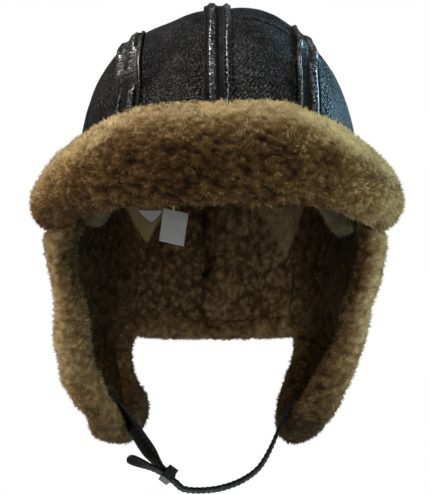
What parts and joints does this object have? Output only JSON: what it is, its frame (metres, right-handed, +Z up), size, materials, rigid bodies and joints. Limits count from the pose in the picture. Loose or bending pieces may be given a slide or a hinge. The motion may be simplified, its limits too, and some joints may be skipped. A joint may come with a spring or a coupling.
{
  "type": "leather flying helmet",
  "caption": "Leather flying helmet with taped seams, a deep turned-up fleece brim, fleece-edged ear and neck flaps and a fastened chin strap.",
  "frame": {"origin": "centre of the head opening, level with the band where the flaps join the crown", "axes": "+Z up through the top of the crown, -Y towards the wearer's face, +X to the right as a person facing the helmet sees it"},
  "size_m": [0.2539, 0.2641, 0.3374],
  "materials": {
    "leather": "pebbled, half gloss",
    "tape": "smooth, glossy, gathered edges",
    "fleece": "deep curly fleece",
    "lining": "short curly fleece",
    "strap": "smooth, glossy",
    "metal": "dark, half gloss",
    "cloth": "plain white woven tape"
  },
  "bodies": {
    "root": {"crown_side_left": "leather", "crown_top_left": "leather", "crown_top_right": "leather", "crown_side_right": "leather", "seam_tape_left": "tape", "seam_tape_centre": "tape", "seam_tape_right": "tape", "brim_fleece": "fleece", "ear_roll_left": "fleece", "ear_flap_left": "leather", "ear_lining_left": "lining", "ear_roll_right": "fleece", "ear_flap_right": "leather", "ear_lining_right": "lining", "brow_roll": "fleece", "crown_lining_side_left": "lining", "crown_lining_top_left": "lining", "crown_lining_top_right": "lining", "crown_lining_side_right": "lining", "neck_roll": "fleece", "neck_flap": "leather", "neck_lining": "lining", "chin_strap": "strap", "strap_tab": "strap", "strap_buckle": "metal", "care_label": "cloth", "size_label": "cloth"}
  },
  "joints": []
}
